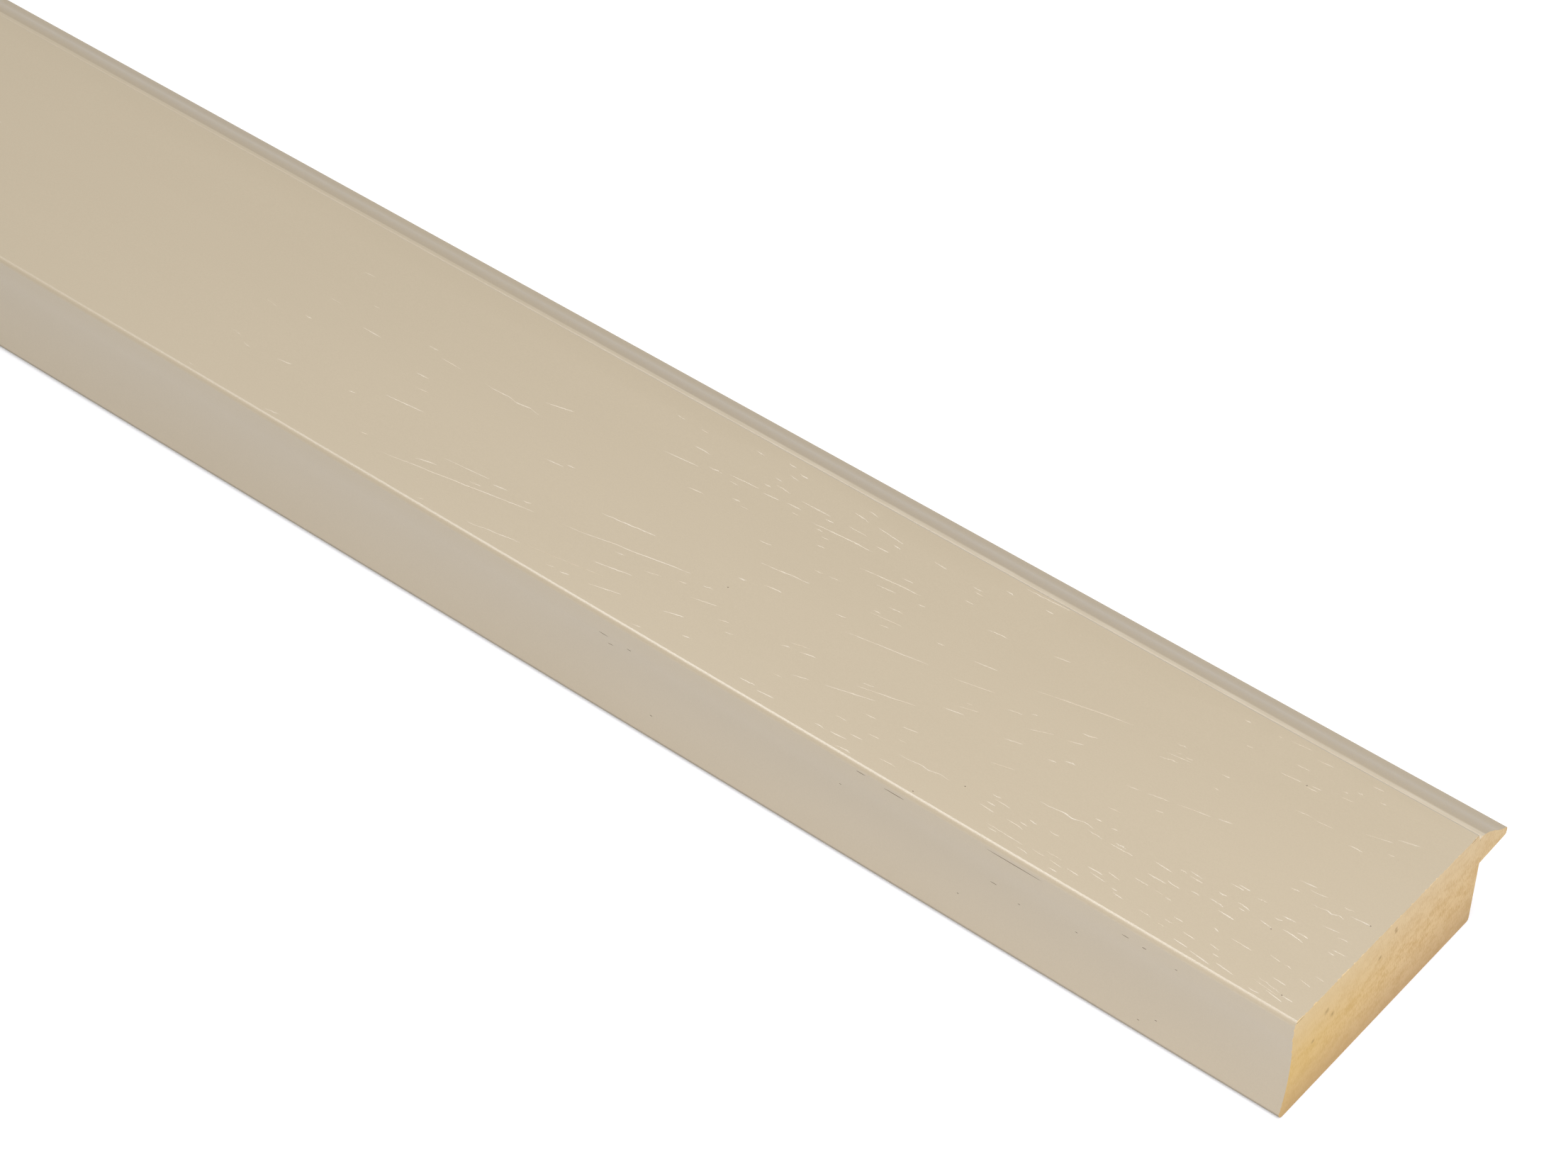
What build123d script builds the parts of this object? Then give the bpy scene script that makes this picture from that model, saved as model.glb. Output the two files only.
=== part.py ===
# Picture frame moulding: one stick of milled hardwood stock, sawn square at both ends.
# Millimetres. X runs along the stick, Y from its back edge to its sight edge, Z up from its back.
# The origin is at the middle of the underside, the side that lies against the wall.
import os
from math import radians, tan

from build123d import *

# The stick
stock_length = 1220.0  # a 4 ft length
overall_width = 64.0  # from the foot of the back edge to the tip of the lip
back_height = 22.5  # from the underside to the face, beside the back edge
face_fall = 0.5  # how much lower the face is at the quirk than at the back edge

# The back edge: a foot, a shallow hollow, a land and a rounded arris
foot_bevel = 0.8  # each way, the small flat planed off the arris under the foot
foot_height = 1.4  # where the hollow starts
hollow_depth = 0.8  # of the hollow, off the straight line between its two ends
land_setback = 0.65  # how far the land stands in from the foot
land_height = 3.1  # the upright land above the hollow
arris_rise = 0.9  # the rounded arris under the face
arris_run = 0.85
arris_break = 10.0  # degrees between the face and the start of the round, which is a crisp line

# The quirk: a fine V between the face and the lip
quirk_width = 1.1
quirk_depth = 1.5  # below the face
crest_step = 1.3  # how much lower than the face the lip starts

# The lip: a rounded crest that falls as an ogee to a sloping toe with a rounded nose
lip_width = 9.6  # from the middle of the quirk to the tip
crest_width = 1.35  # the tighter round at the crest, which starts level
crest_fall = 0.28
toe_width = 1.5  # from the end of the cove to the tip
toe_height = 16.62  # above the underside, at the end of the cove
toe_slope = 26.0  # degrees below level
cove_width = 2.3  # the hollow part of the ogee, up to where it turns
cove_rise = 1.48
nose_radius = 0.7
nose_ease = 0.35  # radius where the nose meets the rebate's ledge

# The rebate for the glass, the mount board and the picture
rebate_width = 8.2
rebate_depth = 13.8  # beside the wall
ledge_rise = 0.5  # how much higher the ledge is at the nose than beside the wall
wall_bevel = 0.4  # each way, the small flat at the foot of the rebate's wall

# Places across the section, worked out from the sizes above
foot_y = -overall_width / 2
tip_y = overall_width / 2
land_y = foot_y + land_setback
wall_y = tip_y - rebate_width
quirk_y = tip_y - lip_width
face_height = back_height - face_fall


def draw_back_edge(start):
    """Draw the back edge from the underside up to the face, and return where the face starts."""
    land_top = back_height - arris_rise
    land_foot = land_top - land_height
    face_start = (land_y + arris_run, back_height)
    hollow_middle = ((foot_y + land_y) / 2 + hollow_depth, (foot_height + land_foot) / 2)
    Line(start, (foot_y, foot_height))
    ThreePointArc((foot_y, foot_height), hollow_middle, (land_y, land_foot))
    Line((land_y, land_foot), (land_y, land_top))
    # The round leaves the face at an angle, so the face ends in a crisp line
    crisp = Vector(-1, 0).rotate(Axis.Z, arris_break)
    TangentArc(face_start, (land_y, land_top), tangent=crisp)
    return face_start


def draw_face(start):
    """Draw the face and the quirk beyond it, and return where the lip starts."""
    shoulder = (quirk_y - quirk_width / 2, face_height)
    bottom = (quirk_y, face_height - quirk_depth)
    crest = (quirk_y + quirk_width / 2, face_height - crest_step)
    Polyline(start, shoulder, bottom, crest)
    return crest


def draw_lip(start):
    """Draw the crest, the ogee and the toe, and return the nose's upper and lower corners."""
    crest_end = (start[0] + crest_width, start[1] - crest_fall)
    toe = (tip_y - toe_width, toe_height)
    turn = (toe[0] - cove_width, toe_height + cove_rise)
    nose_top = (tip_y, toe_height - toe_width * tan(radians(toe_slope)))
    nose_foot = (tip_y, rebate_depth + ledge_rise)
    # The three curves run on smoothly from the toe
    cove = TangentArc(toe, turn, tangent=Vector(-1, 0).rotate(Axis.Z, -toe_slope))
    swell = TangentArc(turn, crest_end, tangent=cove % 1)
    TangentArc(crest_end, start, tangent=swell % 1)
    Polyline(toe, nose_top, nose_foot)
    return nose_top, nose_foot


def draw_section():
    """Draw the whole section of the moulding as one closed face."""
    with BuildSketch() as section:
        with BuildLine():
            underside_start = (foot_y, 0)
            wall_foot = (wall_y, 0)
            face_start = draw_back_edge(underside_start)
            lip_start = draw_face(face_start)
            nose_top, nose_foot = draw_lip(lip_start)
            Polyline(nose_foot, (wall_y, rebate_depth), wall_foot, underside_start)
        make_face()
        for corner, radius in (
            (nose_top, nose_radius),
            (nose_foot, nose_ease),
        ):
            fillet(section.vertices().sort_by_distance(corner)[0], radius)
        for corner, width in (
            (underside_start, foot_bevel),
            (wall_foot, wall_bevel),
        ):
            chamfer(section.vertices().sort_by_distance(corner)[0], width)
    return section.sketch


moulding = extrude(Plane.YZ * draw_section(), amount=stock_length / 2, both=True)
moulding.label = "moulding"

os.makedirs("parts", exist_ok=True)
export_step(moulding, "parts/moulding.step")
print("volume, cubic mm:", round(moulding.volume))
print("box, mm:", moulding.bounding_box().size)
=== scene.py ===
import math
import random

import bpy
from mathutils import Matrix, Vector, noise


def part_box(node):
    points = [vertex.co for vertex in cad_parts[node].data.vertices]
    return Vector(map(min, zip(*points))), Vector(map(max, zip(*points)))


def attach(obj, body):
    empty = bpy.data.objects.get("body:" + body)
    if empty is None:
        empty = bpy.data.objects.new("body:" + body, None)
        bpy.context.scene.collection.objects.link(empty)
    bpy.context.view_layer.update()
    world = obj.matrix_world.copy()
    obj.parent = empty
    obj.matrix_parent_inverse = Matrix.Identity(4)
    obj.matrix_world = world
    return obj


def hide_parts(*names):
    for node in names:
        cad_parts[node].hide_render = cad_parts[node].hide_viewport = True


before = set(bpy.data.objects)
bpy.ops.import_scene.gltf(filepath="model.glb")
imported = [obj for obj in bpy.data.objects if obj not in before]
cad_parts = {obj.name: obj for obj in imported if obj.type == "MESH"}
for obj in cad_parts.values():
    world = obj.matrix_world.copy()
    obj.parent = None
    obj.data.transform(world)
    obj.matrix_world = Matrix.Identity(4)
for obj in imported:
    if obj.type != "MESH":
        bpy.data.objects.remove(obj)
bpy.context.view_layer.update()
mm = 0.001
degree = math.pi / 180
touching = 0.01 * mm  # points closer than this are at one place
squareOn = 0.9  # at least this much of a normal points along an axis that its face is square to
print("frame loaded:", sorted(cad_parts))


# Small tools for working by hand

def deselectAll():
    if bpy.context.mode != "OBJECT":
        bpy.ops.object.mode_set(mode="OBJECT")
    bpy.ops.object.select_all(action="DESELECT")


def editOnly(piece):
    deselectAll()
    piece.select_set(True)
    bpy.context.view_layer.objects.active = piece
    bpy.ops.object.mode_set(mode="EDIT")


def pick(piece, kind, test):
    # Selects just the faces or edges that pass the test, and stays in edit mode
    bpy.ops.mesh.select_mode(type=kind)
    bpy.ops.mesh.select_all(action="DESELECT")
    bpy.ops.object.mode_set(mode="OBJECT")
    for part in piece.data.polygons if kind == "FACE" else piece.data.edges:
        part.select = test(part)
    bpy.ops.object.mode_set(mode="EDIT")


# The section of the stick, drawn at its far end with a single point that is extruded and spun

section = {  # millimetres
    "footRound": 1.2,
    "footHeight": 1.4,
    "hollowDepth": 0.8,
    "landSetback": 0.65,
    "landHeight": 3.1,
    "arrisRise": 0.9,
    "arrisRun": 0.85,
    "arrisBreak": 10,  # degrees between the face and the round, which leaves a crisp line
    "faceFall": 0.5,
    "lipWidth": 9.6,  # from the middle of the quirk to the tip
    "quirkWidth": 1.1,
    "quirkDepth": 1.5,
    "crestStep": 1.3,
    "shoulderRound": 0.2,  # how far the paint rounds the corners at the quirk
    "quirkRound": 0.1,
    "crestRound": 2.2,
    "crestWidth": 1.35,
    "crestFall": 0.28,
    "coveWidth": 2.3,
    "coveRise": 1.48,
    "toeWidth": 1.5,
    "toeHeight": 16.62,
    "toeSlope": 26,  # degrees
    "noseRound": 0.7,
    "noseEase": 0.35,
    "rebateWidth": 8.2,
    "rebateDepth": 13.8,
    "ledgeRise": 0.5,
    "wallRound": 0.55,
    "faceStrips": 9,
    "cellLength": 20,  # length of the cells that the stick is divided into
    "smoothBelow": 9,  # degrees; sharper edges stay crisp
}

stickLow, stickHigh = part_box("moulding")
stickLength = stickHigh.x - stickLow.x
nearEnd, farEnd = stickHigh.x, stickLow.x
footY, tipY = stickLow.y, stickHigh.y
faceTop = stickHigh.z
landY = footY + section["landSetback"] * mm
wallY = tipY - section["rebateWidth"] * mm
quirkY = tipY - section["lipWidth"] * mm
faceStart = Vector((landY + section["arrisRun"] * mm, faceTop))
quirkShoulder = Vector((quirkY - section["quirkWidth"] * mm / 2, faceTop - section["faceFall"] * mm))
ledgeHeight = section["rebateDepth"] * mm


def headed(angle):
    return Vector((math.cos(angle), math.sin(angle)))


def setOff(here, there, arrival):
    # The heading that an arc sets off with, to come to there with the heading arrival
    chord = there - here
    return headed(2 * math.atan2(chord.y, chord.x) - math.atan2(arrival.y, arrival.x))


def drawFlat(here, there, cuts=1):
    step = (there - here) / cuts
    for _ in range(cuts):
        bpy.ops.mesh.extrude_region_move(TRANSFORM_OT_translate={"value": (0, step.x, step.y)})
    return there


def drawRound(here, there, heading, cuts):
    chord = there - here
    side = Vector((-heading.y, heading.x))
    centre = here + side * chord.length_squared / (2 * chord.dot(side))
    turn = 2 * math.atan2(chord.dot(side), chord.dot(heading))
    bpy.ops.mesh.spin(steps=cuts, angle=-turn, center=(farEnd, centre.x, centre.y), axis=(1, 0, 0),
                      use_auto_merge=False)  # spin goes clockwise, so the turn is negative
    return there


def drawCorner(here, corner, onward, radius, cuts, flatCuts=1):
    # A flat up to a rounded corner, and the round itself
    back = (here - corner).normalized()
    ahead = (onward - corner).normalized()
    setback = radius / math.tan(back.angle(ahead) / 2)
    here = drawFlat(here, corner + back * setback, flatCuts)
    return drawRound(here, corner + ahead * setback, -back, cuts)


def startPoint(spot):
    # A small plane merged to one point, left in edit mode
    bpy.ops.mesh.primitive_plane_add(size=mm, location=(farEnd, spot.x, spot.y))
    bpy.ops.object.transform_apply(location=True, rotation=True, scale=True)
    bpy.ops.object.mode_set(mode="EDIT")
    bpy.ops.mesh.merge(type="CENTER")
    return spot


def drawSection():
    s = {name: size * mm for name, size in section.items()}  # the lengths in metres
    landTop = faceTop - s["arrisRise"]
    landFoot = landTop - s["landHeight"]
    quirkBottom = Vector((quirkY, quirkShoulder.y - s["quirkDepth"]))
    crest = Vector((quirkY + s["quirkWidth"] / 2, quirkShoulder.y - s["crestStep"]))
    brow = crest + Vector((s["crestWidth"], -s["crestFall"]))  # the end of the tighter round
    toe = Vector((tipY - s["toeWidth"], s["toeHeight"]))
    waist = toe + Vector((-s["coveWidth"], s["coveRise"]))  # where the ogee turns hollow
    toeHeading = headed(-section["toeSlope"] * degree)
    noseTop = toe + toeHeading * s["toeWidth"] / toeHeading.x
    noseFoot = Vector((tipY, ledgeHeight + s["ledgeRise"]))
    wallTop = Vector((wallY, ledgeHeight))
    foot = Vector((footY, 0))
    here = startPoint(Vector((wallY - s["wallRound"], 0)))

    # The underside, the foot and the hollow back edge
    hollowFoot = Vector((footY, s["footHeight"]))
    here = drawCorner(here, foot, hollowFoot, s["footRound"], cuts=7, flatCuts=8)
    here = drawFlat(here, hollowFoot)
    land = Vector((landY, landFoot))
    chord = land - here
    lean = 2 * math.atan(2 * s["hollowDepth"] / chord.length)
    here = drawRound(here, land, headed(math.atan2(chord.y, chord.x) - lean), cuts=14)
    here = drawFlat(here, Vector((landY, landTop)), cuts=2)
    crisp = headed(section["arrisBreak"] * degree)
    here = drawRound(here, faceStart, setOff(here, faceStart, crisp), cuts=14)

    # The face, the quirk and the lip
    shoulder = s["shoulderRound"]
    here = drawCorner(here, quirkShoulder, quirkBottom, shoulder, cuts=5, flatCuts=section["faceStrips"])
    here = drawCorner(here, quirkBottom, crest, s["quirkRound"], cuts=4)
    coveHeading = setOff(waist, toe, toeHeading)
    swellHeading = setOff(brow, waist, coveHeading)
    onward = crest + setOff(crest, brow, swellHeading)
    here = drawCorner(here, crest, onward, s["crestRound"], cuts=7)
    here = drawRound(here, brow, setOff(here, brow, swellHeading), cuts=6)
    here = drawRound(here, waist, swellHeading, cuts=12)
    here = drawRound(here, toe, coveHeading, cuts=8)
    here = drawCorner(here, noseTop, noseFoot, s["noseRound"], cuts=8)
    here = drawCorner(here, noseFoot, wallTop, s["noseEase"], cuts=5)

    # The rebate
    here = drawFlat(here, wallTop, cuts=2)
    drawCorner(here, Vector((wallY, 0)), foot, s["wallRound"], cuts=5, flatCuts=3)
    bpy.ops.mesh.select_all(action="SELECT")
    bpy.ops.mesh.remove_doubles(threshold=touching)
    bpy.ops.mesh.edge_face_add()


def makeStick():
    deselectAll()
    drawSection()
    bpy.ops.mesh.extrude_region_move(TRANSFORM_OT_translate={"value": (stickLength, 0, 0)})
    stick = bpy.context.object
    stick.name = stick.data.name = "painted_stick"
    bpy.ops.mesh.select_all(action="SELECT")
    bpy.ops.mesh.normals_make_consistent(inside=False)
    points = stick.data.vertices
    pick(stick, "EDGE", lambda e: abs(points[e.vertices[0]].co.x - points[e.vertices[1]].co.x) > mm)
    bpy.ops.mesh.subdivide(number_cuts=round(stickLength / (section["cellLength"] * mm)) - 1)
    bpy.ops.object.mode_set(mode="OBJECT")
    return stick


ends = {  # millimetres
    "coatThickness": 0.07,
    "outlineCuts": ((3, 23), (0.6, 2)),  # painted edges longer than this get so many cuts
    "paintedFrom": 15,  # the outline is painted from this height up, and all along the back edge
    "chippedFrom": 14,
    "chipDepth": 0.32,  # how far the saw broke the coat back from the cut
    "chipsPerMetre": 1800,
    "sawnLean": 0.15,  # a face that leans this much toward an end is sawn wood
    "noseReach": 0.5,  # how far the coat goes round the nose, under the lip
    "ledgeSlack": 0.05,
    "seed": 11,
}


def isSawn(face):
    return abs(face.normal.x) > ends["sawnLean"]


def isPainted(face):
    # Bare are the underside, and the ledge and wall of the rebate
    middle, normal = face.center, face.normal
    rebateTop = ledgeHeight + (section["ledgeRise"] + ends["ledgeSlack"]) * mm
    inRebate = middle.y > wallY - section["wallRound"] * mm and middle.z < rebateTop
    bare = normal.z < -squareOn or (inRebate and (normal.y < squareOn or middle.y < wallY + mm))
    return not bare or middle.y > tipY - ends["noseReach"] * mm


def finishEnd(stick, endX, inward):
    # A thin step of coat round the sawn end, whose edge the saw left slightly ragged
    points = stick.data.vertices

    def atEnd(spot):
        return abs(spot.x - endX) < touching

    def isPaintedEdge(edge, longerThan):
        first, last = (points[i].co for i in edge.vertices)
        middle = (first + last) / 2
        painted = middle.z > ends["paintedFrom"] * mm or middle.y < landY
        return atEnd(first) and atEnd(last) and painted and (first - last).length > longerThan * mm

    editOnly(stick)
    for longerThan, cuts in ends["outlineCuts"]:
        pick(stick, "EDGE", lambda e: isPaintedEdge(e, longerThan))
        bpy.ops.mesh.subdivide(number_cuts=cuts)
    pick(stick, "FACE", lambda f: abs(f.normal.x) > squareOn and atEnd(f.center))
    bpy.ops.mesh.inset(thickness=ends["coatThickness"] * mm)
    bpy.ops.object.mode_set(mode="OBJECT")
    sides = [face for face in stick.data.polygons if not isSawn(face)]
    rim = {i for face in sides for i in face.vertices if atEnd(points[i].co)}
    for i in rim:
        spot = points[i].co
        if spot.z > ends["chippedFrom"] * mm or spot.y < landY:
            across, up = spot.y * ends["chipsPerMetre"], spot.z * ends["chipsPerMetre"]
            ragged = max(0, noise.noise(Vector((ends["seed"], across, up))))
            spot.x += inward * ragged * ends["chipDepth"] * mm


# Pores: long narrow grooves that the coat has sunk into, cut into the face as in open-grained wood

pores = {  # millimetres and degrees, with places measured from the near end and across from the middle
    "width": 0.24,
    "widths": (0.65, 1.2),  # shares of the width
    "depth": 0.05,
    "depths": (0.6, 1.2),  # shares of the depth
    "seed": 23,
    "kinds": {  # parts along a groove, and how much it waves, beads and bends
        "straight": (8, 0.4, 0, 0),
        "bent": (9, 0.4, 0, 0.5),
        "beaded": (22, 0.7, 0.9, 0),
        "wavy": (30, 1.5, 0.4, 0),
    },
    "patternsOfEach": 3,
    "kept": [  # given: from the end, across, length, angle, kind
        (83, -3.9, 7.5, 13, "straight"),
        (66.5, 3.8, 18.6, 13.3, "beaded"),
        (48.8, -6, 2.6, 11, "straight"),
        (44.6, -5.1, 4, 12, "beaded"),
        (38.4, -3.8, 6, 12.5, "bent"),
        (33.2, -2.5, 2.6, 14, "straight"),
        (68.1, -5.4, 4.3, 23, "straight"),
        (62.3, -3.8, 2.9, 19, "straight"),
        (30.6, 12.8, 3.8, 6, "straight"),
        (12.2, 10.5, 5.2, 16, "straight"),
        (7.7, 12.8, 3.9, 15.5, "straight"),
        (47.3, 4.6, 4.5, 8, "straight"),
        (9.2, -8.2, 5.5, 6.6, "wavy"),
        (4.3, -6.6, 3.6, 6, "straight"),
        (6.9, -11.1, 3, 8, "straight"),
        (77.8, -24.5, 9.9, 4.4, "wavy"),
        (58.8, -28, 7.5, -1, "wavy"),
        (53.5, -18, 10.5, 4.6, "wavy"),
        (68.1, -15.9, 4.1, 15, "straight"),
        (70.2, -10.2, 3.3, 15, "straight"),
        (80.5, -9, 3.7, 17, "straight"),
        (75.7, 10.8, 3.2, 11, "straight"),
        (149, -16.1, 25.3, 11.3, "wavy"),
        (99.7, -6.3, 15.8, 10.3, "beaded"),
        (97.7, -18.8, 9, 15.8, "straight"),
        (106.4, -21.3, 3.1, 17, "straight"),
        (93, -15.5, 11.3, 14.4, "beaded"),
        (154.9, -25.2, 15.1, 9.9, "wavy"),
        (145.2, -26.2, 6.3, 14.7, "straight"),
        (147.6, -21.4, 7.7, 12.5, "beaded"),
        (132.3, -23.3, 3.9, 17, "straight"),
        (130.4, -17.6, 5.2, 14, "straight"),
        (152.7, -11.1, 11, 8.7, "wavy"),
        (122.7, 10.6, 12.8, 4.1, "beaded"),
        (130.6, 13.3, 6.3, 1.5, "straight"),
        (116.5, 16.3, 5.9, -5, "straight"),
        (144.6, 10.7, 6.1, 4.7, "straight"),
        (156.8, 8.1, 7, 5.9, "straight"),
        (86.1, 21.1, 8.8, 3.3, "wavy"),
        (109.4, 7.1, 12.2, 5.7, "beaded"),
        (124.4, -3, 9.6, 8.3, "beaded"),
        (104.2, -0.8, 6.2, 6.6, "straight"),
        (84.5, 1.1, 4.5, 9, "straight"),
        (182.7, -22.2, 31.6, 10.6, "wavy"),
        (183.5, -18.5, 9.7, 6, "straight"),
        (169.2, -27.8, 11, 10.5, "wavy"),
        (182, 4.6, 5.6, 14, "straight"),
        (190, 0.7, 13, 0, "wavy"),
        (204.7, 0.9, 4.6, -1, "straight"),
        (203.6, -12.7, 8.2, 6, "straight"),
        (221.5, -2, 4.6, 0, "straight"),
        (7.9, -27.2, 4.6, -8, "wavy"),
        (8.1, -28, 4.9, -5, "straight"),
        (5.9, -28.7, 3.3, -8, "straight"),
        (15, -29, 3.5, -6, "straight"),
        (19.4, -29.6, 4, -6, "straight"),
        (10.7, -16.3, 4, -4, "bent"),
        (15.3, -16.9, 2.4, -7, "straight"),
        (21.3, -19.4, 3, -2, "straight"),
        (15.9, -23, 3.9, -1, "straight"),
        (22.4, -12.6, 2.2, 0, "straight"),
        (23.4, -13.2, 2.4, 1, "straight"),
        (13.2, -13.6, 2.4, 4, "straight"),
        (3.7, -23.3, 2.2, -10, "straight"),
        (7, -25.6, 2.6, -3, "straight"),
        (10.2, -22, 2.2, -6, "straight"),
        (42.5, -18.6, 4.8, 2, "beaded"),
        (34.9, -17.3, 3.7, -3, "straight"),
        (34.3, -20.1, 3.6, 0, "straight"),
        (31.5, -19.4, 2.4, -8, "bent"),
        (29.9, -15.3, 2.5, -4, "straight"),
        (39.9, -24.1, 2.6, -7, "straight"),
        (42.8, -25.1, 2.9, 0, "straight"),
        (41.7, -26, 3.2, -4, "straight"),
        (49.8, -26.7, 3, 1, "beaded"),
        (45.4, -27.7, 2.4, -2, "straight"),
        (36.9, -27.2, 2.2, -6, "straight"),
    ],
    "clusters": [  # from, to, low, high, how many, shortest, longest
        (2, 50, -30, -12, 52, 1.2, 3),
        (50, 66, -30, -22, 14, 1.5, 4),
        (2, 20, -12, -4, 6, 1.5, 4),
        (5, 45, 6, 21, 20, 1, 4),
        (30, 84, -12, 8, 14, 1, 4),
        (84, 164, 5, 21, 40, 1.5, 4),
        (84, 164, -10, 5, 12, 1.5, 4),
        (80, 98, -29, -24, 6, 1.5, 4),
        (84, 164, -30, -10, 22, 1.5, 4.5),
        (164, 244, -30, -16, 14, 1.5, 5),
        (164, 244, -8, 10, 10, 1.5, 5),
    ],
    "grain": [  # from the end, across, the angle of the grain there
        (15, -21, -5), (45, -21, -1), (15, -8, 7), (25, 13, 4), (57, -2, 14), (58, -26, -3),
        (78, -25, 5), (70, -15, 15), (98, -27, 3), (124, 7, 5), (124, 20, -8), (124, -2, 9),
        (124, -20, 15), (100, -16, 15), (200, -23, 12), (200, -12, 7), (200, 3, 1), (200, 18, -4),
    ],
    "grainReach": (20, 6),
    "grainBlend": 0.2,  # the larger, the softer the change from one noted place to the next
    "mirror": 230,  # the grain beyond here repeats backwards, and on again
    "farClusters": 34,  # random patches beyond the photographed part
    "farFrom": 235,
    "farMargin": 60,
    "farLow": (-30, 12),
    "farLong": (25, 60),
    "farWide": (5, 11),
    "farCount": (8, 22),
    "farShortest": 1.5,
    "farLongest": (3.5, 5, 9),
    "faceAcross": (-30, 21.3),  # where random pores lie, up to the quirk
    "shortness": 1.8,  # the higher, the fewer long ones
    "stray": 2.5,  # how far one turns from the grain
    "wavyFrom": 5.5,  # longer ones are all wavy
    "shortKinds": ("straight", "straight", "beaded", "bent"),
    "endMargin": 0.6,
    "quirkMargin": 0.2,
    "gapAlong": 0.4,
    "gapAcross": 0.5,
    "gapShare": 0.05,  # added to the gap across for each millimetre of length
    "bluntness": 0.12,  # how full a groove is at its tips; this and the next go by its own size
    "tipCurve": 0.6,
    "fuller": 0.6,  # how much fuller it gets toward the near end
    "halfWidth": 0.58,
    "bank": 1.16,  # how steeply its floor comes up on both sides
    "beadPace": 0.45,
    "wavePace": 0.16,
    "waveShift": 5,  # takes the wave from another part of the noise than the beads
    "roof": 3,  # how far its cutter stands out of the face, in depths
    "pits": [  # from the end, across: small round holes that the coat has bridged only partly
        (70, -23.6), (75.8, -30), (27.6, 12.95), (2.5, -6.4), (129.5, -12.1), (5, -27.7), (14.2, -17.2),
    ],
    "pitWidth": 0.2,
    "pitStretch": 1.3,
    "dashes": [  # from the end, height, length: pores of the back edge, which the coat hasn't filled
        (54.3, 21, 11.4), (85.5, 21.3, 2), (78.6, 21, 4.3), (32.1, 19.8, 1.4), (28.4, 19.6, 0.9),
        (22.2, 19, 0.5), (58.1, 13.6, 1.4), (52.9, 12.2, 0.5), (41.5, 13.6, 0.5), (24.7, 5, 0.5),
        (27.8, 3.2, 0.5), (64.8, 6.7, 0.4), (89.8, 15.6, 0.5), (141, 18.2, 2.2), (139.6, 16.5, 1.2),
        (135.3, 17.9, 1), (130.4, 5.4, 0.6),
    ],
    "slots": [  # across, height, length, lean: gaps between the coat and the wood at the near end
        (-29.9, 22.32, 2.4, 0), (20.7, 21.85, 2.2, 0), (22.55, 20.35, 0.4, 60),
    ],
    "slotDepth": 0.5,
    "thinWidth": 0.13,  # of a dash or slot
}


def faceSpot(fromEnd, across):
    # A place on the painted face, and the turn that lays a pore on it
    slope = (faceStart.y - quirkShoulder.y) / (quirkShoulder.x - faceStart.x)
    height = faceTop - (across * mm - faceStart.x) * slope
    spot = Matrix.Translation((nearEnd - fromEnd * mm, across * mm, height))
    return spot @ Matrix.Rotation(-math.atan(slope), 4, "X")


def backEdgeHollow(height):
    # How far in the back edge stands at a height
    s = section  # here in millimetres, as the height is
    top = faceTop / mm - s["arrisRise"] - s["landHeight"]
    if height > top:
        return landY
    share = (height - s["footHeight"]) / (top - s["footHeight"])
    return footY + (share * s["landSetback"] + 4 * share * (1 - share) * s["hollowDepth"]) * mm


def poreCutter(name, cuts, wave, beads, bend, seed):
    # A groove one unit long, wide and deep, as a closed slab whose underside is the groove's floor
    deselectAll()
    bpy.ops.mesh.primitive_grid_add(x_subdivisions=cuts, y_subdivisions=4, size=1)
    cutter = bpy.context.object
    cutter.name = cutter.data.name = name
    for point in cutter.data.vertices:
        along, across = point.co.x, point.co.y * 2  # from -0.5 to 0.5, and from -1 to 1
        taper = max(pores["bluntness"], 1 - (2 * along) ** 2) ** pores["tipCurve"]
        taper *= 1 + pores["fuller"] * along
        swell = 1 + beads * noise.noise(Vector((along * cuts * pores["beadPace"], seed, 0)))
        wavy = Vector((along * cuts * pores["wavePace"], seed, pores["waveShift"]))
        drift = wave * noise.noise(wavy) + bend * (4 * along * along - 1)
        floor = taper * swell * (abs(across) * pores["bank"] - 1)
        point.co = (along, across * pores["halfWidth"] * taper * swell + drift, floor)
    bpy.ops.object.mode_set(mode="EDIT")
    bpy.ops.mesh.select_all(action="SELECT")
    bpy.ops.mesh.extrude_region_move(TRANSFORM_OT_translate={"value": (0, 0, pores["roof"])})
    bpy.ops.mesh.select_all(action="SELECT")
    bpy.ops.mesh.normals_make_consistent(inside=False)
    bpy.ops.object.mode_set(mode="OBJECT")
    return cutter


def pitCutter():
    deselectAll()
    bpy.ops.mesh.primitive_uv_sphere_add(segments=8, ring_count=6, radius=0.5)
    bpy.context.object.name = "pitCutter"
    return bpy.context.object


def copyAt(pattern, spot, material):
    cutter = pattern.copy()
    cutter.data = pattern.data.copy()
    cutter.data.transform(spot)
    cutter.data.materials.clear()
    cutter.data.materials.append(material)
    bpy.context.collection.objects.link(cutter)
    return cutter


def grainAngle(fromEnd, across):
    # The pores follow the grain, whose direction fades from each noted place to the next
    repeat, along = divmod(fromEnd, pores["mirror"])
    turned = repeat % 2 == 1
    along = pores["mirror"] - along if turned else along
    reachAlong, reachAcross = pores["grainReach"]
    total = weights = 0
    for notedAlong, notedAcross, angle in pores["grain"]:
        apart = ((along - notedAlong) / reachAlong) ** 2 + ((across - notedAcross) / reachAcross) ** 2
        weight = 1 / (pores["grainBlend"] + apart) ** 2
        total += weight * angle
        weights += weight
    return -total / weights if turned else total / weights


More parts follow.
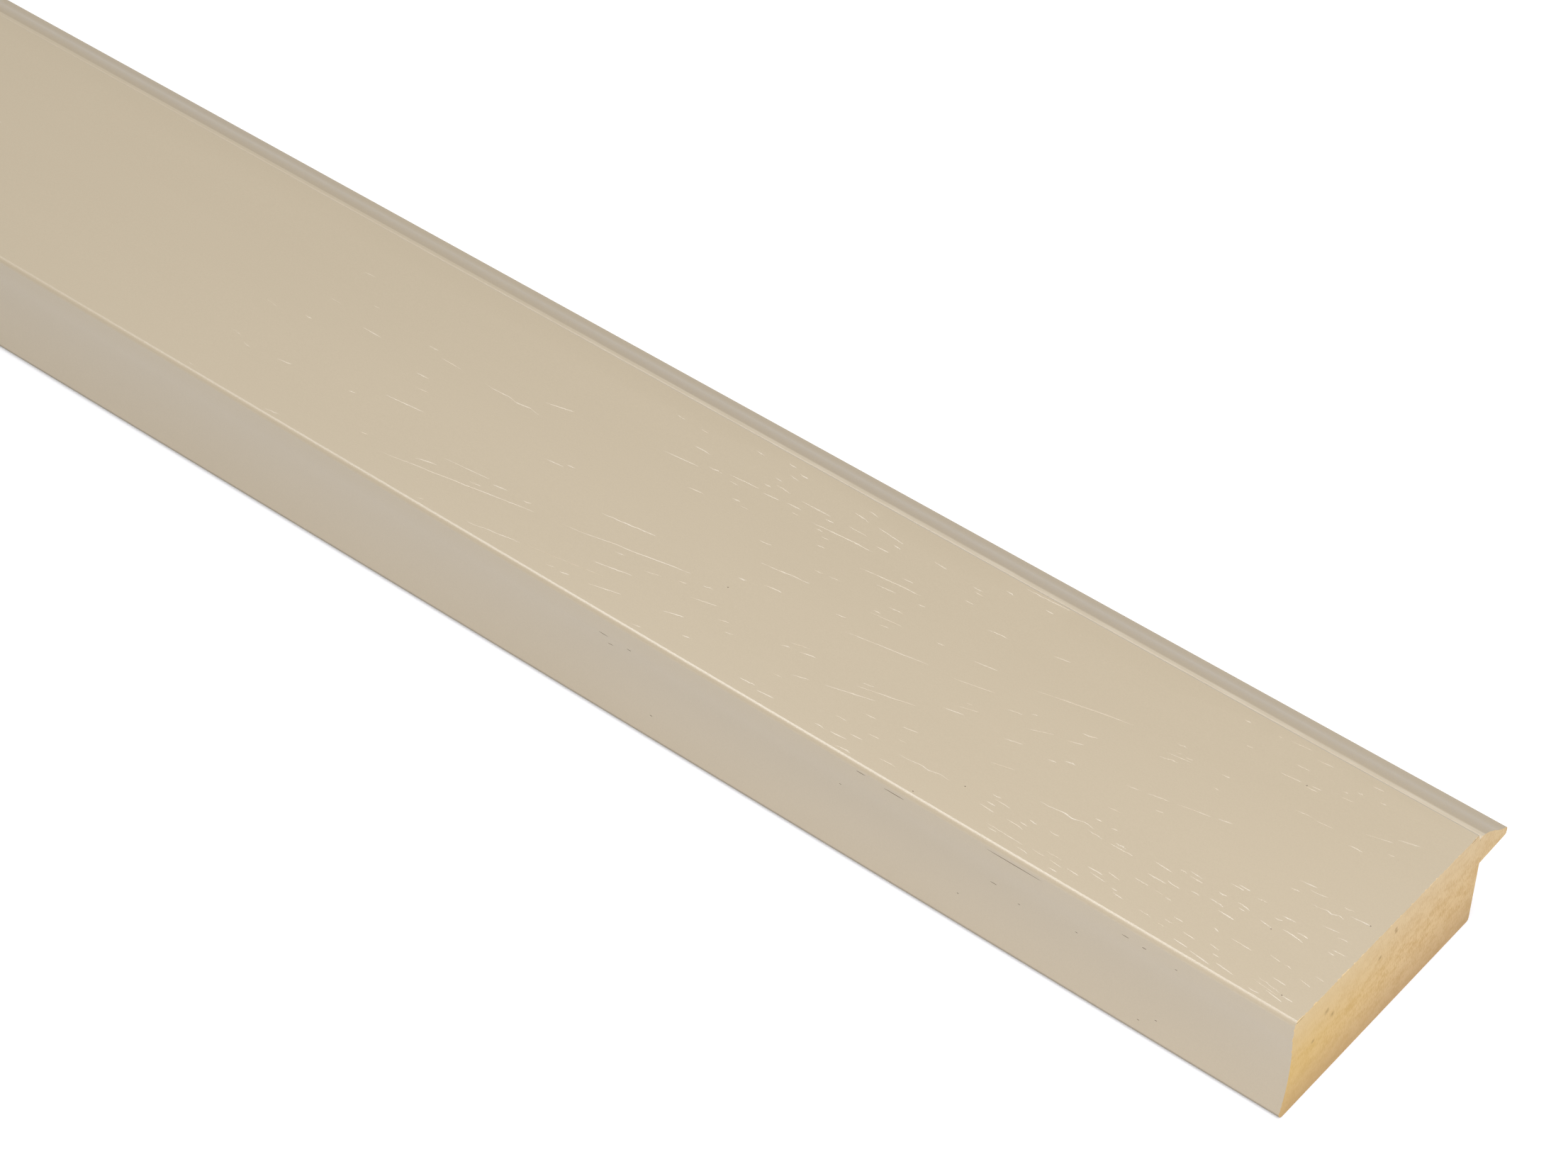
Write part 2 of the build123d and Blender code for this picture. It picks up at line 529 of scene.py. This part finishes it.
def fitsFace(fromEnd, across, length, angle):
    # Clear of both ends and of the quirk
    toEnd = min(fromEnd, stickLength / mm - fromEnd)
    toQuirk = abs(across - pores["faceAcross"][1])
    sideways = length / 2 * abs(math.sin(angle * degree))
    return toEnd > length / 2 + pores["endMargin"] and toQuirk > sideways + pores["quirkMargin"]


def isClear(fromEnd, across, length, other):
    # Clear of another pore
    if abs(fromEnd - other[0]) > (length + other[2]) / 2 + pores["gapAlong"]:
        return True
    line = other[1] - (fromEnd - other[0]) * math.tan(other[3] * degree)
    return abs(across - line) > pores["gapAcross"] + pores["gapShare"] * length


def farCluster(draw):
    start = draw.uniform(pores["farFrom"], stickLength / mm - pores["farMargin"])
    low = draw.uniform(*pores["farLow"])
    stop = start + draw.uniform(*pores["farLong"])
    high = low + draw.uniform(*pores["farWide"])
    count = draw.randint(*pores["farCount"])
    return start, stop, low, high, count, pores["farShortest"], draw.choice(pores["farLongest"])


def scatterPores():
    # The kept pores first, and then random ones that stay clear of them and of each other
    draw = random.Random(pores["seed"])
    placed = list(pores["kept"])
    clusters = pores["clusters"] + [farCluster(draw) for _ in range(pores["farClusters"])]
    lowest, highest = pores["faceAcross"]
    for start, stop, low, high, count, shortest, longest in clusters:
        for _ in range(count):
            fromEnd = draw.uniform(start, stop)
            across = draw.uniform(max(low, lowest), min(high, highest))
            length = shortest + (longest - shortest) * draw.random() ** pores["shortness"]
            angle = grainAngle(fromEnd, across) + draw.uniform(-pores["stray"], pores["stray"])
            kind = "wavy" if length > pores["wavyFrom"] else draw.choice(pores["shortKinds"])
            clear = all(isClear(fromEnd, across, length, other) for other in placed)
            if clear and fitsFace(fromEnd, across, length, angle):
                placed.append((fromEnd, across, length, angle, kind))
    return placed


def makePatterns(draw):
    # A few grooves of each kind, to be copied
    patterns = {}
    seed = 0
    for kind, (cuts, wave, beads, bend) in pores["kinds"].items():
        patterns[kind] = []
        for _ in range(pores["patternsOfEach"]):
            side = draw.choice((-1, 1)) if bend else 0
            patterns[kind].append(poreCutter(kind + "Pore", cuts, wave, beads, bend * side, seed))
            seed += 1
    return patterns


def makeGrooves(sunkenHighlightPaint):
    draw = random.Random(pores["seed"] + 1)
    patterns = makePatterns(draw)
    cutters = []
    for fromEnd, across, length, angle, kind in scatterPores():
        pattern = draw.choice(patterns[kind])
        width = pores["width"] * draw.uniform(*pores["widths"]) * mm
        depth = pores["depth"] * draw.uniform(*pores["depths"]) * mm
        spot = faceSpot(fromEnd, across) @ Matrix.Rotation(angle * degree, 4, "Z")
        size = Matrix.Diagonal((length * mm, width, depth, 1))
        cutters.append(copyAt(pattern, spot @ size, sunkenHighlightPaint))
    for group in patterns.values():
        for pattern in group:
            bpy.data.objects.remove(pattern)
    return cutters


def makeHoles(openPore):
    # Each is a small ball, stretched to its size
    ball = pitCutter()
    holes = []
    wide = pores["pitWidth"] * mm
    thin = pores["thinWidth"] * mm
    for fromEnd, across in pores["pits"]:
        size = (wide * pores["pitStretch"], wide, wide, 1)
        holes.append(copyAt(ball, faceSpot(fromEnd, across) @ Matrix.Diagonal(size), openPore))
    for fromEnd, height, length in pores["dashes"]:
        spot = Matrix.Translation((nearEnd - fromEnd * mm, backEdgeHollow(height), height * mm))
        holes.append(copyAt(ball, spot @ Matrix.Diagonal((length * mm, thin, thin, 1)), openPore))
    for across, height, length, lean in pores["slots"]:
        spot = Matrix.Translation((nearEnd, across * mm, height * mm))
        spot = spot @ Matrix.Rotation(lean * degree, 4, "X")
        size =(pores["slotDepth"] * mm, length * mm, thin, 1)
        holes.append(copyAt(ball, spot @ Matrix.Diagonal(size), openPore))
    bpy.data.objects.remove(ball)
    return holes


def carve(stick, cutters, name):
    deselectAll()
    for cutter in cutters:
        cutter.select_set(True)
    bpy.context.view_layer.objects.active = cutters[0]
    bpy.ops.object.join()
    cutter = bpy.context.object
    deselectAll()
    stick.select_set(True)
    bpy.context.view_layer.objects.active = stick
    cut = stick.modifiers.new(name, "BOOLEAN")
    cut.operation = "DIFFERENCE"
    cut.solver = "EXACT"
    cut.material_mode = "TRANSFER"
    cut.object = cutter
    bpy.ops.object.modifier_apply(modifier=cut.name)
    bpy.data.objects.remove(cutter)


# Finishes. What more than one material uses is a node group, placed in each with its own values.

finish = {  # lengths and places in millimetres, but for the heights of the bumps
    "stone": (0.605, 0.499, 0.34, 1),
    "deepStone": (0.566, 0.464, 0.31, 1),
    # darker paint of the lip and under the foot: painted shade where they turn away from the lamps
    "shadedLipStone": (0.495, 0.413, 0.307, 1),
    # paler coat in the pores, partly a painted highlight
    "poreStoneAndHighlight": (0.745, 0.65, 0.505, 1),
    "coatIor": 1.55,
    "satin": 0.32,  # roughness of the coat
    "gloss": 1.0,
    "poreGloss": 0.7,
    "lipGloss": 0.05,
    "coatSpan": (0.3, 0.7),  # a tone changes between these values of its noise, as with each span
    "broadShare": 0.55,  # how much of the coat's unevenness is broad, and how much is speckle
    "speckleShare": 0.45,
    "satinSpread": (-0.02, 0.03),
    "swellShare": 0.8,
    "pieceSpan": (0.4, 0.6),
    "pieceShare": 0.9,
    "lineSpan": (0.25, 0.75),
    "patchSpan": (0.35, 0.72),
    "skinDepth": 0.000008,  # heights of the bumps, in metres
    "endRelief": 0.000006,
    "bareRelief": 0.00003,
    # dark brown of the open pores, dashes and slots: the bare wood, darkened as painted shade for their
    # depth
    "openPore": (0.16, 0.11, 0.07, 1),
    "openPoreRim": (0.3, 0.22, 0.15, 1),
    "endLight": (0.852, 0.618, 0.32, 1),
    "endDark": (0.722, 0.47, 0.198, 1),
    "endYellow": (0.83, 0.55, 0.15, 1),
    "endPale": (0.86, 0.68, 0.42, 1),
    "endBrown": (0.62, 0.41, 0.2, 1),
    "endLineStrength": 1.6,
    "bareLineStrength": 0.6,
    "endWashes": [  # axis, where it starts and is full, share, colour
        ("Y", 2, -26, 0.5, "endYellow"), ("Z", 12, 21, 0.5, "endPale"), ("Z", 9, 0.5, 0.6, "endBrown"),
    ],
    "endFleck": (0.33, 0.165, 0.05, 1),
    "fleckShare": 0.6,
    "fleckEdge": (1.7, 0.5),  # shares of a fleck's size, where it ends and is full
    "flecks": [  # across and height of the middle, and size
        (-21.5, 17, 0.7), (-2.3, 19.9, 0.5), (-2.1, 19.2, 0.5), (-6.2, 16.4, 0.5), (-19.5, 14.6, 0.6),
        (-24.6, 12.6, 0.5),
    ],
    "bareLight": (0.72, 0.54, 0.34, 1),
    "bareDark": (0.56, 0.38, 0.2, 1),
    # grey-brown painted shade, under the foot and in a thin line along the quirk
    "paintedShade": (0.36, 0.33, 0.28, 1),
    # pale cream painted highlight along the crest of the lip
    "crestHighlightStone": (0.71, 0.61, 0.455, 1),
    "footShade": (1.1, 0.8),  # painted shade under the foot: heights where it starts and is full
    "shadeShare": 0.8,
    "quirkShadeAcross": -0.5,  # from the quirk to the middle of the painted shade line
    "quirkShadeEdge": (0.28, 0.12),  # from the middle, where the line ends and is full
    "crestHighlightAcross": 1.2,
    "crestHighlightEdge": (0.8, 0.2),
    "dabSpan": (0.42, 0.68),
    "dabShares": (0.5, 1),  # how much the painted highlight along the crest shows between its dabs and in them
    "linesClear": 110,  # from the near end, up to which the painted shade and highlight lines show in full
    "linesFaint": 230,  # and from where on they are faint
    "linesFarShare": 0.25,
    "dullFrom": 1.6,  # from the quirk on, where the duller paint of the lip starts, darker as painted shade
    "dullBelow": 1.1,  # the same duller, darker paint, with its painted shade, is under the foot
    "grains": {  # grains of noise per metre, each way
        "broad": (9, 60, 60),
        "skin": (2300, 2300, 2300),
        "swell": (90, 900, 900),
        "speckle": (3600, 3600, 3600),
        "dabs": (120, 1500, 1500),
        "pieces": (650, 1400, 1400),
        "endPatches": (600, 330, 480),
        "endLines": (3400, 3900, 1200),
        "fleckBlur": (1500, 1500, 1500),
        "barePatches": (14, 240, 240),
        "bareLines": (130, 5200, 5200),
        "openPore": (4000, 4000, 4000),
    },
}


def newGroup(name, inputs, outputs):
    group = bpy.data.node_groups.new(name, "ShaderNodeTree")
    for label, kind, value in inputs:
        socket = group.interface.new_socket(label, in_out="INPUT", socket_type="NodeSocket" + kind)
        socket.default_value = value
    for label, kind in outputs:
        group.interface.new_socket(label, in_out="OUTPUT", socket_type="NodeSocket" + kind)
    return group, group.nodes.new("NodeGroupInput"), group.nodes.new("NodeGroupOutput")


def place(tree, kind, **settings):
    # A new node, with its settings and the values of its sockets
    node = tree.nodes.new(kind)
    for name, value in settings.items():
        if hasattr(node, name):
            setattr(node, name, value)
        else:
            node.inputs[name.replace("_", " ")].default_value = value
    return node


def link(tree, fromSocket, toSocket):
    tree.links.new(fromSocket, toSocket)


def combined(tree, operation, *terms):
    # Arithmetic with values that are sockets or plain numbers
    node = place(tree, "ShaderNodeMath", operation=operation)
    for socket, term in zip(node.inputs, terms):
        if isinstance(term, (int, float)):
            socket.default_value = term
        else:
            link(tree, term, socket)
    return node.outputs[0]


def ramped(tree, value, low, high, lowest=0.0, highest=1.0):
    ramp = place(tree, "ShaderNodeMapRange", From_Min=low, From_Max=high, To_Min=lowest, To_Max=highest)
    link(tree, value, ramp.inputs["Value"])
    return ramp.outputs["Result"]


def mixed(tree, factor, first, second):
    # Two colours, each a socket or a plain colour. Sockets 6, 7 and 2 are the node's colour ones.
    mix = place(tree, "ShaderNodeMix", data_type="RGBA")
    link(tree, factor, mix.inputs["Factor"])
    for socket, colour in ((mix.inputs[6], first), (mix.inputs[7], second)):
        if isinstance(colour, tuple):
            socket.default_value = colour
        else:
            link(tree, colour, socket)
    return mix.outputs[2]


def objectPlace(tree):
    return place(tree, "ShaderNodeTexCoord").outputs["Object"]


def separated(tree, vector):
    split = place(tree, "ShaderNodeSeparateXYZ")
    link(tree, vector, split.inputs[0])
    return split.outputs


def noisy(tree, coordinates, grain, detail=2.0):
    mapping = place(tree, "ShaderNodeMapping")
    mapping.inputs["Scale"].default_value = finish["grains"][grain]
    link(tree, coordinates, mapping.inputs["Vector"])
    texture = place(tree, "ShaderNodeTexNoise", Scale=1.0, Detail=detail, Roughness=0.5)
    link(tree, mapping.outputs["Vector"], texture.inputs["Vector"])
    return texture.outputs["Fac"]


def sprayedCoat():
    # Satin sprayed paint: a fine skin, a broad unevenness and a little of the wood's swell below
    group, given, result = newGroup(
        "sprayedCoat",
        (("Colour", "Color", finish["stone"]), ("Deep Colour", "Color", finish["deepStone"]),
         ("Roughness", "Float", finish["satin"])),
        (("Colour", "Color"), ("Roughness", "Float"), ("Height", "Float")))
    where = objectPlace(group)
    broad = noisy(group, where, "broad", detail=3)
    skin = noisy(group, where, "skin", detail=2)
    swell = noisy(group, where, "swell", detail=2)
    speckle = noisy(group, where, "speckle", detail=1)
    shade = combined(group, "ADD", ramped(group, broad, *finish["coatSpan"], 0, finish["broadShare"]),
                     ramped(group, speckle, *finish["coatSpan"], 0, finish["speckleShare"]))
    link(group, mixed(group, shade, given.outputs["Colour"], given.outputs["Deep Colour"]),
         result.inputs["Colour"])
    uneven = ramped(group, broad, *finish["coatSpan"], *finish["satinSpread"])
    link(group, combined(group, "ADD", given.outputs["Roughness"], uneven), result.inputs["Roughness"])
    height = combined(group, "MULTIPLY_ADD", swell, finish["swellShare"], skin)
    link(group, height, result.inputs["Height"])
    return group


def woodTone():
    # Pale diffuse wood: soft patches between two tones, and fine lines, each with its own grains
    grains = finish["grains"]
    group, given, result = newGroup(
        "woodTone",
        (("Light", "Color", finish["bareLight"]), ("Dark", "Color", finish["bareDark"]),
         ("Patches", "Vector", grains["barePatches"]), ("Lines", "Vector", grains["bareLines"]),
         ("Line Strength", "Float", finish["bareLineStrength"])),
        (("Colour", "Color"), ("Height", "Float")))
    where = objectPlace(group)

    def stretched(socket, detail):
        spread = place(group, "ShaderNodeVectorMath", operation="MULTIPLY")
        link(group, where, spread.inputs[0])
        link(group, given.outputs[socket], spread.inputs[1])
        texture = place(group, "ShaderNodeTexNoise", Scale=1.0, Detail=detail)
        link(group, spread.outputs[0], texture.inputs["Vector"])
        return texture.outputs["Fac"]

    patches = stretched("Patches", 4.0)
    lines = stretched("Lines", 2.0)
    lighterOrDarker = ramped(group, lines, *finish["lineSpan"], -0.5, 0.5)
    tone = combined(group, "MULTIPLY_ADD", lighterOrDarker, given.outputs["Line Strength"],
                    ramped(group, patches, *finish["patchSpan"]))
    toned = mixed(group, tone, given.outputs["Light"], given.outputs["Dark"])
    link(group, toned, result.inputs["Colour"])
    link(group, lines, result.inputs["Height"])
    return group


def newMaterial(name, **shader):
    material = bpy.data.materials.new(name)
    material.use_nodes = True
    tree = material.node_tree
    principled = tree.nodes["Principled BSDF"]
    for socket, value in shader.items():
        principled.inputs[socket.replace("_", " ")].default_value = value
    return material, tree, principled


def addGroup(tree, group, **values):
    node = tree.nodes.new("ShaderNodeGroup")
    node.node_tree = group
    for label, value in values.items():
        node.inputs[label.replace("_", " ")].default_value = value
    return node


def addBump(tree, principled, height, distance):
    bump = place(tree, "ShaderNodeBump", Strength=1.0, Distance=distance)
    link(tree, height, bump.inputs["Height"])
    link(tree, bump.outputs["Normal"], principled.inputs["Normal"])


def newCoat(name, group, colour, deepColour, gloss):
    # A material of sprayed paint whose colour is still to be linked
    material, tree, principled = newMaterial(name, IOR=finish["coatIor"], Specular_IOR_Level=gloss)
    coat = addGroup(tree, group, Colour=colour, Deep_Colour=deepColour, Roughness=finish["satin"])
    link(tree, coat.outputs["Roughness"], principled.inputs["Roughness"])
    addBump(tree, principled, coat.outputs["Height"], finish["skinDepth"])
    return material, tree, principled, coat.outputs["Colour"]


def paintMaterial(name, group, colour, gloss):
    # Painted shade along the quirk and under the foot, and a painted highlight along the crest of the lip
    material, tree, principled, toned = newCoat(name, group, colour, finish["deepStone"], gloss)
    where = objectPlace(tree)
    split = separated(tree, where)
    toNearEnd = ramped(tree, split["X"], nearEnd - finish["linesFaint"] * mm,
                       nearEnd - finish["linesClear"] * mm, finish["linesFarShare"], 1)

    # Used for the painted shade line and the painted highlight line
    def paintedLightLine(across, edge, share):
        # The share along a line at this distance from the quirk, fading to nought on both sides
        apart = combined(tree, "SUBTRACT", split["Y"], quirkY + across * mm)
        line = ramped(tree, combined(tree, "ABSOLUTE", apart), edge[0] * mm, edge[1] * mm)
        return combined(tree, "MULTIPLY", combined(tree, "MULTIPLY", line, toNearEnd), share)

    # Painted shade, darker toward the underside of the foot
    footStart, footFull = finish["footShade"]
    footShade = ramped(tree, split["Z"], footStart * mm, footFull * mm, 0, finish["shadeShare"])
    toned = mixed(tree, footShade, toned, finish["paintedShade"])
    # Painted shade in a thin line along the quirk
    quirkShade = paintedLightLine(finish["quirkShadeAcross"], finish["quirkShadeEdge"], finish["shadeShare"])
    toned = mixed(tree, quirkShade, toned, finish["paintedShade"])
    # Painted highlight along the crest of the lip, broken into dabs
    dabs = ramped(tree, noisy(tree, where, "dabs", detail=3), *finish["dabSpan"], *finish["dabShares"])
    crestHighlight = paintedLightLine(finish["crestHighlightAcross"], finish["crestHighlightEdge"], dabs)
    toned = mixed(tree, crestHighlight, toned, finish["crestHighlightStone"])
    link(tree, toned, principled.inputs["Base Color"])
    return material


def sunkenHighlightPaintMaterial(group):
    # In the pores the coat is paler, in short uneven pieces: partly the coat's own paleness, partly a
    # painted highlight for the glint on the groove walls
    material, tree, principled, toned = newCoat("sunkenHighlightPaint", group, finish["poreStoneAndHighlight"], finish["stone"],
                                                finish["poreGloss"])
    pieces = noisy(tree, objectPlace(tree), "pieces", detail=3)
    unpaled = ramped(tree, pieces, *finish["pieceSpan"], 0, finish["pieceShare"])
    link(tree, mixed(tree, unpaled, toned, finish["stone"]), principled.inputs["Base Color"])
    return material


def endGrainMaterial(group):
    # Yellower toward the back edge, paler under the coat, browner toward the underside, with flecks
    material, tree, principled = newMaterial("sawnEndGrain", Roughness=0.75, Specular_IOR_Level=0.25)
    grains = finish["grains"]
    wood = addGroup(tree, group, Light=finish["endLight"], Dark=finish["endDark"],
                    Patches=grains["endPatches"], Lines=grains["endLines"],
                    Line_Strength=finish["endLineStrength"])
    where = objectPlace(tree)
    split = separated(tree, where)
    toned = wood.outputs["Colour"]
    for axis, start, full, share, colour in finish["endWashes"]:
        wash = ramped(tree, split[axis], start * mm, full * mm, 0, share)
        toned = mixed(tree, wash, toned, finish[colour])
    blur = noisy(tree, where, "fleckBlur", detail=3)
    outer, inner = finish["fleckEdge"]
    for across, height, radius in finish["flecks"]:
        apart = place(tree, "ShaderNodeVectorMath", operation="DISTANCE")
        link(tree, where, apart.inputs[0])
        apart.inputs[1].default_value = (nearEnd, across * mm, height * mm)
        ragged = combined(tree, "MULTIPLY_ADD", blur, radius * mm, apart.outputs["Value"])
        fleck = ramped(tree, ragged, radius * outer * mm, radius * inner * mm, 0, finish["fleckShare"])
        toned = mixed(tree, fleck, toned, finish["endFleck"])
    link(tree, toned, principled.inputs["Base Color"])
    addBump(tree, principled, wood.outputs["Height"], finish["endRelief"])
    return material


def bareWoodMaterial(group):
    material, tree, principled = newMaterial("bareLongGrain", Roughness=0.68, Specular_IOR_Level=0.3)
    grains = finish["grains"]
    wood = addGroup(tree, group, Light=finish["bareLight"], Dark=finish["bareDark"],
                    Patches=grains["barePatches"], Lines=grains["bareLines"],
                    Line_Strength=finish["bareLineStrength"])
    link(tree, wood.outputs["Colour"], principled.inputs["Base Color"])
    addBump(tree, principled, wood.outputs["Height"], finish["bareRelief"])
    return material


# The bare wood in open pores, dashes and slots, darkened as painted shade for their depth
def openPoreMaterial():
    material, tree, principled = newMaterial("openPore", Roughness=0.8)
    speckle = noisy(tree, objectPlace(tree), "openPore")
    toned = mixed(tree, speckle, finish["openPore"], finish["openPoreRim"])
    link(tree, toned, principled.inputs["Base Color"])
    return material


def paintStick(stick, coatGroup, woodGroup):
    # Each face gets its material by where it is and which way it faces
    materials = (paintMaterial("stonePaint", coatGroup, finish["stone"], finish["gloss"]),
                 endGrainMaterial(woodGroup),
                 bareWoodMaterial(woodGroup),
                 paintMaterial("dullerShadedLipPaint", coatGroup, finish["shadedLipStone"], finish["lipGloss"]))
    paint, endGrain, bareWood, shadedLipPaint = range(len(materials))
    for material in materials:
        stick.data.materials.append(material)
    dullY, dullZ = quirkY + finish["dullFrom"] * mm, finish["dullBelow"] * mm
    for face in stick.data.polygons:
        # The lip and the foot get the duller paint, whose darker colour is painted shade
        isDullShaded = face.center.y > dullY or face.center.z < dullZ
        if isSawn(face):
            face.material_index = endGrain
        elif not isPainted(face):
            face.material_index = bareWood
        else:
            face.material_index = shadedLipPaint if isDullShaded else paint


stick = makeStick()
for endX, inward in ((nearEnd, -1), (farEnd, 1)):
    finishEnd(stick, endX, inward)
print("stick drawn:", len(stick.data.polygons), "faces")

coatGroup = sprayedCoat()
woodGroup = woodTone()
paintStick(stick, coatGroup, woodGroup)
print("stick painted:", len(stick.data.materials), "finishes")

carve(stick, makeGrooves(sunkenHighlightPaintMaterial(coatGroup)), "pores")
carve(stick, makeHoles(openPoreMaterial()), "open pores")
bpy.ops.object.shade_smooth_by_angle(angle=section["smoothBelow"] * degree)
print("pores cut:", len(stick.data.polygons), "faces")

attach(stick, "root")
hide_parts("moulding")


# Floor, light and camera

stage = {  # metres and degrees; a light's level is how bright a white card that faces it looks
    "floorSize": 30,
    "floorDrop": 0.0001,
    "floorWhite": 0.8,
    "floorLift": 0.4,
    "worldLevel": 0.3,
    "backdropLevel": 0.5,
    "aimFromEnd": 0.08,  # the lamps face the middle of the stick here
    "keyDirection": (-0.425, 0.03, 0.905),
    "keyDistance": 2.0,
    "keySize": (1.6, 0.72),
    "keyLevel": 0.39,
    "keyColour": (0.97, 0.99, 1.01),
    "frontDirection": (0.5, -0.36, 0.79),
    "frontDistance": 0.8,
    "frontSize": (0.6, 0.6),
    "frontLevel": 0.69,
    "frontColour": (0.97, 0.98, 1.07),
    "cameraPlace": (0.8159, -0.4308, 0.5290),
    "cameraTurn": (46.63, -1.358, 38.96),
    "lens": 99.41,
    "sensor": 36,
    "clip": (0.01, 100),
}


def seenDirectly(tree):
    # One where the camera, a gloss or a glass sees it, and nought where it lights something
    path = place(tree, "ShaderNodeLightPath").outputs
    first = combined(tree, "MAXIMUM", path["Is Camera Ray"], path["Is Glossy Ray"])
    return combined(tree, "MAXIMUM", first, path["Is Transmission Ray"])


def makeFloor():
    deselectAll()
    bpy.ops.mesh.primitive_plane_add(size=stage["floorSize"], location=(0, 0, -stage["floorDrop"]))
    floor = bpy.context.object
    floor.name = "paleFloor"
    bpy.ops.object.transform_apply(location=True, rotation=True, scale=True)
    white = (stage["floorWhite"],) * 3 + (1,)
    material, tree, principled = newMaterial("paleFloor", Roughness=0.9, Specular_IOR_Level=0.0,
                                             Base_Color=white, Emission_Color=(1, 1, 1, 1))
    lift = combined(tree, "MULTIPLY", seenDirectly(tree), stage["floorLift"])
    link(tree, lift, principled.inputs["Emission Strength"])
    floor.data.materials.append(material)


def makeWorld():
    world = bpy.data.worlds.new("studio")
    bpy.context.scene.world = world
    world.use_nodes = True
    tree = world.node_tree
    backdrop = tree.nodes["Background"]
    backdrop.inputs["Color"].default_value = (1, 1, 1, 1)
    level = ramped(tree, seenDirectly(tree), 0, 1, stage["worldLevel"], stage["backdropLevel"])
    link(tree, level, backdrop.inputs["Strength"])


def makeLamp(name):
    direction = Vector(stage[name + "Direction"]).normalized()
    distance = stage[name + "Distance"]
    aim = Vector((nearEnd - stage["aimFromEnd"], 0, faceTop))
    bpy.ops.object.light_add(type="AREA", location=aim + direction * distance)
    lamp = bpy.context.object
    lamp.name = name + "Lamp"
    lamp.rotation_euler = direction.to_track_quat("Z", "Y").to_euler()
    lamp.data.shape = "RECTANGLE"
    lamp.data.size, lamp.data.size_y = stage[name + "Size"]
    lamp.data.energy = stage[name + "Level"] * math.pi ** 2 * distance ** 2
    lamp.data.color = stage[name + "Colour"]
    lamp.visible_camera = False


def makeCamera():
    turn = [angle * degree for angle in stage["cameraTurn"]]
    bpy.ops.object.camera_add(location=stage["cameraPlace"], rotation=turn)
    camera = bpy.context.object
    camera.data.sensor_width = stage["sensor"]
    camera.data.lens = stage["lens"]
    camera.data.clip_start, camera.data.clip_end = stage["clip"]
    bpy.context.scene.camera = camera


makeFloor()
makeWorld()
for lampName in ("key", "front"):
    makeLamp(lampName)
makeCamera()
bpy.context.scene.view_settings.view_transform = "Standard"
print("stage set")
